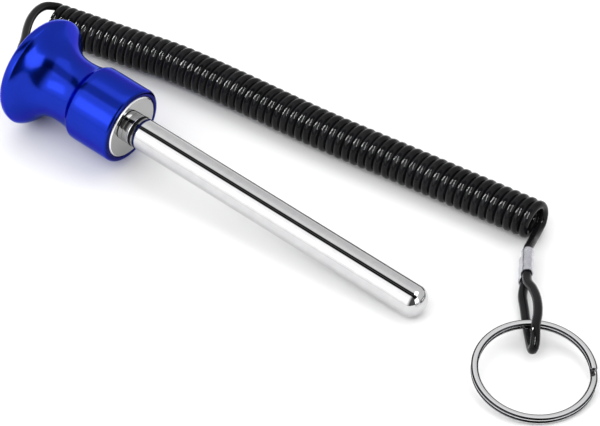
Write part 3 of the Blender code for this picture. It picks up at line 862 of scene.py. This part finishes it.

# %% [markdown]
# ## Bright nickel
# The spring wire and the magnet are both nickel plated. On the wire, a darker line along each
# shoulder is a painted dark reflection. A geometry attribute follows the wire round both turns, which
# a pattern in space couldn't do. On the magnet, the distance from the axis tells the polished face
# from the chamfer round it, which is rougher and carries a painted highlight.

# %% Bright nickel
def ring_nickel():
    """Spring wire: bright on its faces, with a painted dark reflection along each shoulder."""
    material, nodes, links, shader = new_finish("bright_ring_steel", 1.0, 0.05)
    marked = nodes.new("ShaderNodeAttribute")
    marked.attribute_name = "shoulder"
    grain = noise(nodes, links, plain_coordinates(nodes), 900, 3, 0.6)
    # The shoulders' near-black tone is a painted dark reflection.
    bright, painted_shoulder_reflection = (0.70, 0.70, 0.71), (0.05, 0.05, 0.055)
    links.new(colour_between(nodes, links, marked.outputs["Fac"], bright, painted_shoulder_reflection, 0.2, 0.8),
              shader.inputs["Base Color"])
    links.new(ranged(nodes, links, grain, 0.3, 0.7, 0.03, 0.07), shader.inputs["Roughness"])
    bumped(nodes, links, shader, grain, 0.06, 0.01 * MM)
    return material


def magnet_nickel():
    """The magnet's polished face, with a painted highlight on the rougher chamfer round it."""
    material, nodes, links, shader = new_finish("nickel_plate", 1.0, 0.035)
    across = nodes.new("ShaderNodeVectorMath")
    across.operation = 'LENGTH'
    links.new(pin_coordinates(nodes, links, (1, 1, 0)), across.inputs[0])
    face_end = MAGNET_RADIUS - MAGNET_CHAMFER
    edge = ranged(nodes, links, across.outputs["Value"], face_end - 0.05 * MM, face_end + 0.05 * MM, 0, 1)
    grain = noise(nodes, links, plain_coordinates(nodes), 900, 3, 0.6)
    # The chamfer's bright colour is a painted highlight; its higher roughness is the chamfer's own
    # finish.
    polished, painted_chamfer_highlight = (0.40, 0.40, 0.395), (0.92, 0.92, 0.92)
    links.new(colour_between(nodes, links, edge, polished, painted_chamfer_highlight, 0.2, 0.8), shader.inputs["Base Color"])
    links.new(ranged(nodes, links, edge, 0, 1, 0.03, 0.35), shader.inputs["Roughness"])
    bumped(nodes, links, shader, grain, 0.05, 0.005 * MM)
    return material


paint(nickel_magnet, magnet_nickel())
paint(key_split_ring, ring_nickel())

# %% [markdown]
# ## Black cord
# The cord has a smooth, glossy sheath. Black in a shader is never zero, or the shape would be lost
# between its highlights, so two dark tones drift into each other. The roughness varies a little, and
# a low bump keeps the highlights from being perfect lines.

# %% Black cord
def black_cord():
    """A glossy black plastic sheath, a little uneven."""
    material, nodes, links, shader = new_finish("black_cord", 0.0, 0.2)
    skin = noise(nodes, links, plain_coordinates(nodes), 500, 4, 0.6)
    cloud = noise(nodes, links, plain_coordinates(nodes), 90, 3)
    links.new(colour_between(nodes, links, cloud, (0.002, 0.002, 0.0023), (0.004, 0.004, 0.0045)),
              shader.inputs["Base Color"])
    links.new(ranged(nodes, links, skin, 0.3, 0.7, 0.05, 0.09), shader.inputs["Roughness"])
    bumped(nodes, links, shader, skin, 0.08, 0.02 * MM)
    shader.inputs["Specular IOR Level"].default_value = 0.12
    return material


paint(curly_cord, black_cord())

# %% [markdown]
# ## Rubber, aluminium and zinc
# The rubber ring is matt. The sleeve is bare drawn aluminium, and the two pieces in the knob are zinc
# plated: both are dull metals with a fine grain, so one function makes either from a tone, a
# roughness and the scale of its grain.

# %% Rubber, aluminium and zinc
def black_rubber():
    """Matt black rubber with a fine grain."""
    material, nodes, links, shader = new_finish("black_rubber", 0.0, 0.55)
    shader.inputs["Specular IOR Level"].default_value = 0.12
    skin = noise(nodes, links, plain_coordinates(nodes), 1500, 4, 0.6)
    links.new(colour_between(nodes, links, skin, (0.004, 0.004, 0.007), (0.009, 0.009, 0.013)),
              shader.inputs["Base Color"])
    links.new(ranged(nodes, links, skin, 0.3, 0.7, 0.45, 0.65), shader.inputs["Roughness"])
    bumped(nodes, links, shader, skin, 0.2, 0.02 * MM)
    return material


def dull_metal(name, tone, roughness, scale):
    """Bare or zinc-plated metal: a fine grain with soft lighter and darker patches."""
    material, nodes, links, shader = new_finish(name, 1.0, roughness)
    grain = noise(nodes, links, plain_coordinates(nodes), scale, 5, 0.65)
    darker = tuple(0.8 * x for x in tone)
    links.new(colour_between(nodes, links, grain, darker, tone), shader.inputs["Base Color"])
    links.new(ranged(nodes, links, grain, 0.3, 0.7, roughness - 0.06, roughness + 0.08),
              shader.inputs["Roughness"])
    bumped(nodes, links, shader, grain, 0.25, 0.03 * MM)
    return material


zinc = dull_metal("zinc_plated_steel", (0.52, 0.53, 0.56), 0.34, 700)
paint(rubber_ring, black_rubber())
paint(crimped_sleeve, dull_metal("bare_aluminium", (0.60, 0.60, 0.65), 0.22, 350))
for hidden in ("magnet_backing_plate", "cord_stop_ferrule"):
    paint(frame["nodes"][hidden], zinc)

# %% [markdown]
# ## The studio
# Bright metal shows its surroundings, so the studio matters as much as the finish. The pin lies in a
# light tent: white in front, a narrow dark gap overhead, and pale grey behind. Real cards and sheets
# round it would have to be placed and lit one by one, so the tent is the world's own colour, by the
# angle of a direction round the pin. It is nearly dark in front, beyond the tip. A plain pale floor
# lies under everything.

# %% Floor
FLOOR_SIZE = 6.0


def make_floor():
    """A plain pale floor, which belongs to the stage and not to the object."""
    bm = bmesh.new()
    bmesh.ops.create_grid(bm, x_segments=1, y_segments=1, size=FLOOR_SIZE / 2)
    mesh = bpy.data.meshes.new("studio_floor")
    bm.to_mesh(mesh)
    bm.free()
    made = add_piece("studio_floor", mesh)
    material, nodes, links, shader = new_finish("pale_floor", 0.0, 0.9)
    shader.inputs["Base Color"].default_value = (0.86, 0.86, 0.86, 1)
    shader.inputs["Specular IOR Level"].default_value = 0.1
    paint(made, material)
    return made


studio_floor = make_floor()
print("floor:", FLOOR_SIZE, "m square")

# %% Light tent
TENT_BANDS = [(-90, 0.8), (0, 1.0), (3, 1.3), (14, 1.55), (28, 1.65), (61, 1.52), (68, 1.3), (71, 0.0),
              (80, 0.0), (82, 0.12), (84, 0.12), (86, 0.0), (94, 0.0), (98, 1.03), (110, 1.03),
              (124, 0.86), (156, 0.77), (180, 0.85)]
TENT_START = -90
TENT_SWEEP = 270
TENT_SCALE = 2.0
TENT_END_SHARE = 0.06
TIPWARDS = (0.05, 0.45)
FORWARDS = (-0.05, 0.15)


def make_tent():
    """The world's colour, from bands that are pairs of an angle in degrees and a brightness."""
    world = bpy.data.worlds.new("light_tent")
    world.use_nodes = True
    bpy.context.scene.world = world
    nodes, links = world.node_tree.nodes, world.node_tree.links
    direction = nodes.new("ShaderNodeTexCoord").outputs["Generated"]
    parts = nodes.new("ShaderNodeSeparateXYZ")
    links.new(direction, parts.inputs["Vector"])
    front = nodes.new("ShaderNodeMath")
    front.operation = 'MULTIPLY'
    front.inputs[1].default_value = -1
    links.new(parts.outputs["Y"], front.inputs[0])
    angle = nodes.new("ShaderNodeMath")
    angle.operation = 'ARCTAN2'
    links.new(parts.outputs["Z"], angle.inputs[0])
    links.new(front.outputs["Value"], angle.inputs[1])
    place = ranged(nodes, links, angle.outputs["Value"], math.radians(TENT_START),
                   math.radians(TENT_START + TENT_SWEEP), 0, 1)
    ramp = nodes.new("ShaderNodeValToRGB")
    stops = ramp.color_ramp.elements
    while len(stops) < len(TENT_BANDS):
        stops.new(0.5)
    for stop, (degrees, level) in zip(stops, TENT_BANDS):
        stop.position = (degrees - TENT_START) / TENT_SWEEP
        stop.color = (level / TENT_SCALE, level / TENT_SCALE, level / TENT_SCALE, 1)
    links.new(place, ramp.inputs["Fac"])
    tipwards = ranged(nodes, links, parts.outputs["X"], *TIPWARDS, 0, 1)
    forwards = ranged(nodes, links, front.outputs["Value"], *FORWARDS, 0, 1)
    both = nodes.new("ShaderNodeMath")
    both.operation = 'MULTIPLY'
    links.new(tipwards, both.inputs[0])
    links.new(forwards, both.inputs[1])
    background = nodes["Background"]
    links.new(ranged(nodes, links, both.outputs["Value"], 0, 1, TENT_SCALE, TENT_SCALE * TENT_END_SHARE),
              background.inputs["Strength"])
    links.new(ramp.outputs["Color"], background.inputs["Color"])


make_tent()
print("tent:", len(TENT_BANDS), "bands of brightness")

# %% [markdown]
# ## Soft boxes
# In a studio, flags and cards keep one light from spoiling what another does. Light linking does the
# same here: a light can be kept to a single piece. The front box and the tip box light everything.
# The others give the knob its glow, the collar its bright block, the cord its two fine streaks, and
# the floor its whiteness.

# %% Soft boxes
LIGHT_REACH = 1.2
STRIP = (0.07, 1.0)
STRIP_RADIANCE = 150
WASH_STRENGTH = 2.0
WASH_SPREAD = math.radians(100)

# Each row is a name, a direction, a size, a radiance, and the one piece that it lights. None
# stands for every piece.
SOFTBOXES = [("front_box", (-0.35, -0.76, 0.52), (0.75, 0.5), 1.3, None),
             ("tip_box", (0.93, -0.10, 0.33), (0.5, 0.6), 3.0, None),
             ("knob_top_box", (-0.15, 0.05, 1.0), (1.4, 1.0), 0.6, blue_knob),
             ("collar_box", (0.455, 0.304, 0.836), (0.6, 0.6), 2.5, chrome_pin),
             ("right_strip", (0.38, -0.50, 0.78), STRIP, STRIP_RADIANCE, curly_cord),
             ("left_strip", (-0.95, -0.10, 0.30), STRIP, STRIP_RADIANCE, curly_cord)]


def only_lights(light, piece):
    """Keeps a light to one piece."""
    light.light_linking.receiver_collection = bpy.data.collections.new(light.name + "_lights")
    light.light_linking.receiver_collection.objects.link(piece)


def add_softbox(name, location, target, size, radiance):
    """A soft rectangular light that faces its target, with the radiance of its surface."""
    data = bpy.data.lights.new(name, 'AREA')
    data.shape = 'RECTANGLE'
    data.size, data.size_y = size
    data.energy = radiance * math.pi * size[0] * size[1]
    made = bpy.data.objects.new(name, data)
    made.location = location
    made.rotation_euler = (Vector(target) - Vector(location)).to_track_quat('-Z', 'Y').to_euler()
    bpy.context.scene.collection.objects.link(made)
    return made


def add_floor_wash():
    """A very soft light from above, for the floor alone."""
    data = bpy.data.lights.new("floor_wash", 'SUN')
    data.energy = WASH_STRENGTH
    data.angle = WASH_SPREAD
    made = bpy.data.objects.new("floor_wash", data)
    bpy.context.scene.collection.objects.link(made)
    return made


for label, heading, size, radiance, piece in SOFTBOXES:
    box = add_softbox(label, Vector(heading).normalized() * LIGHT_REACH, (0, 0, 0), size, radiance)
    if piece:
        only_lights(box, piece)
only_lights(add_floor_wash(), studio_floor)
print("lights:", len(SOFTBOXES) + 1)
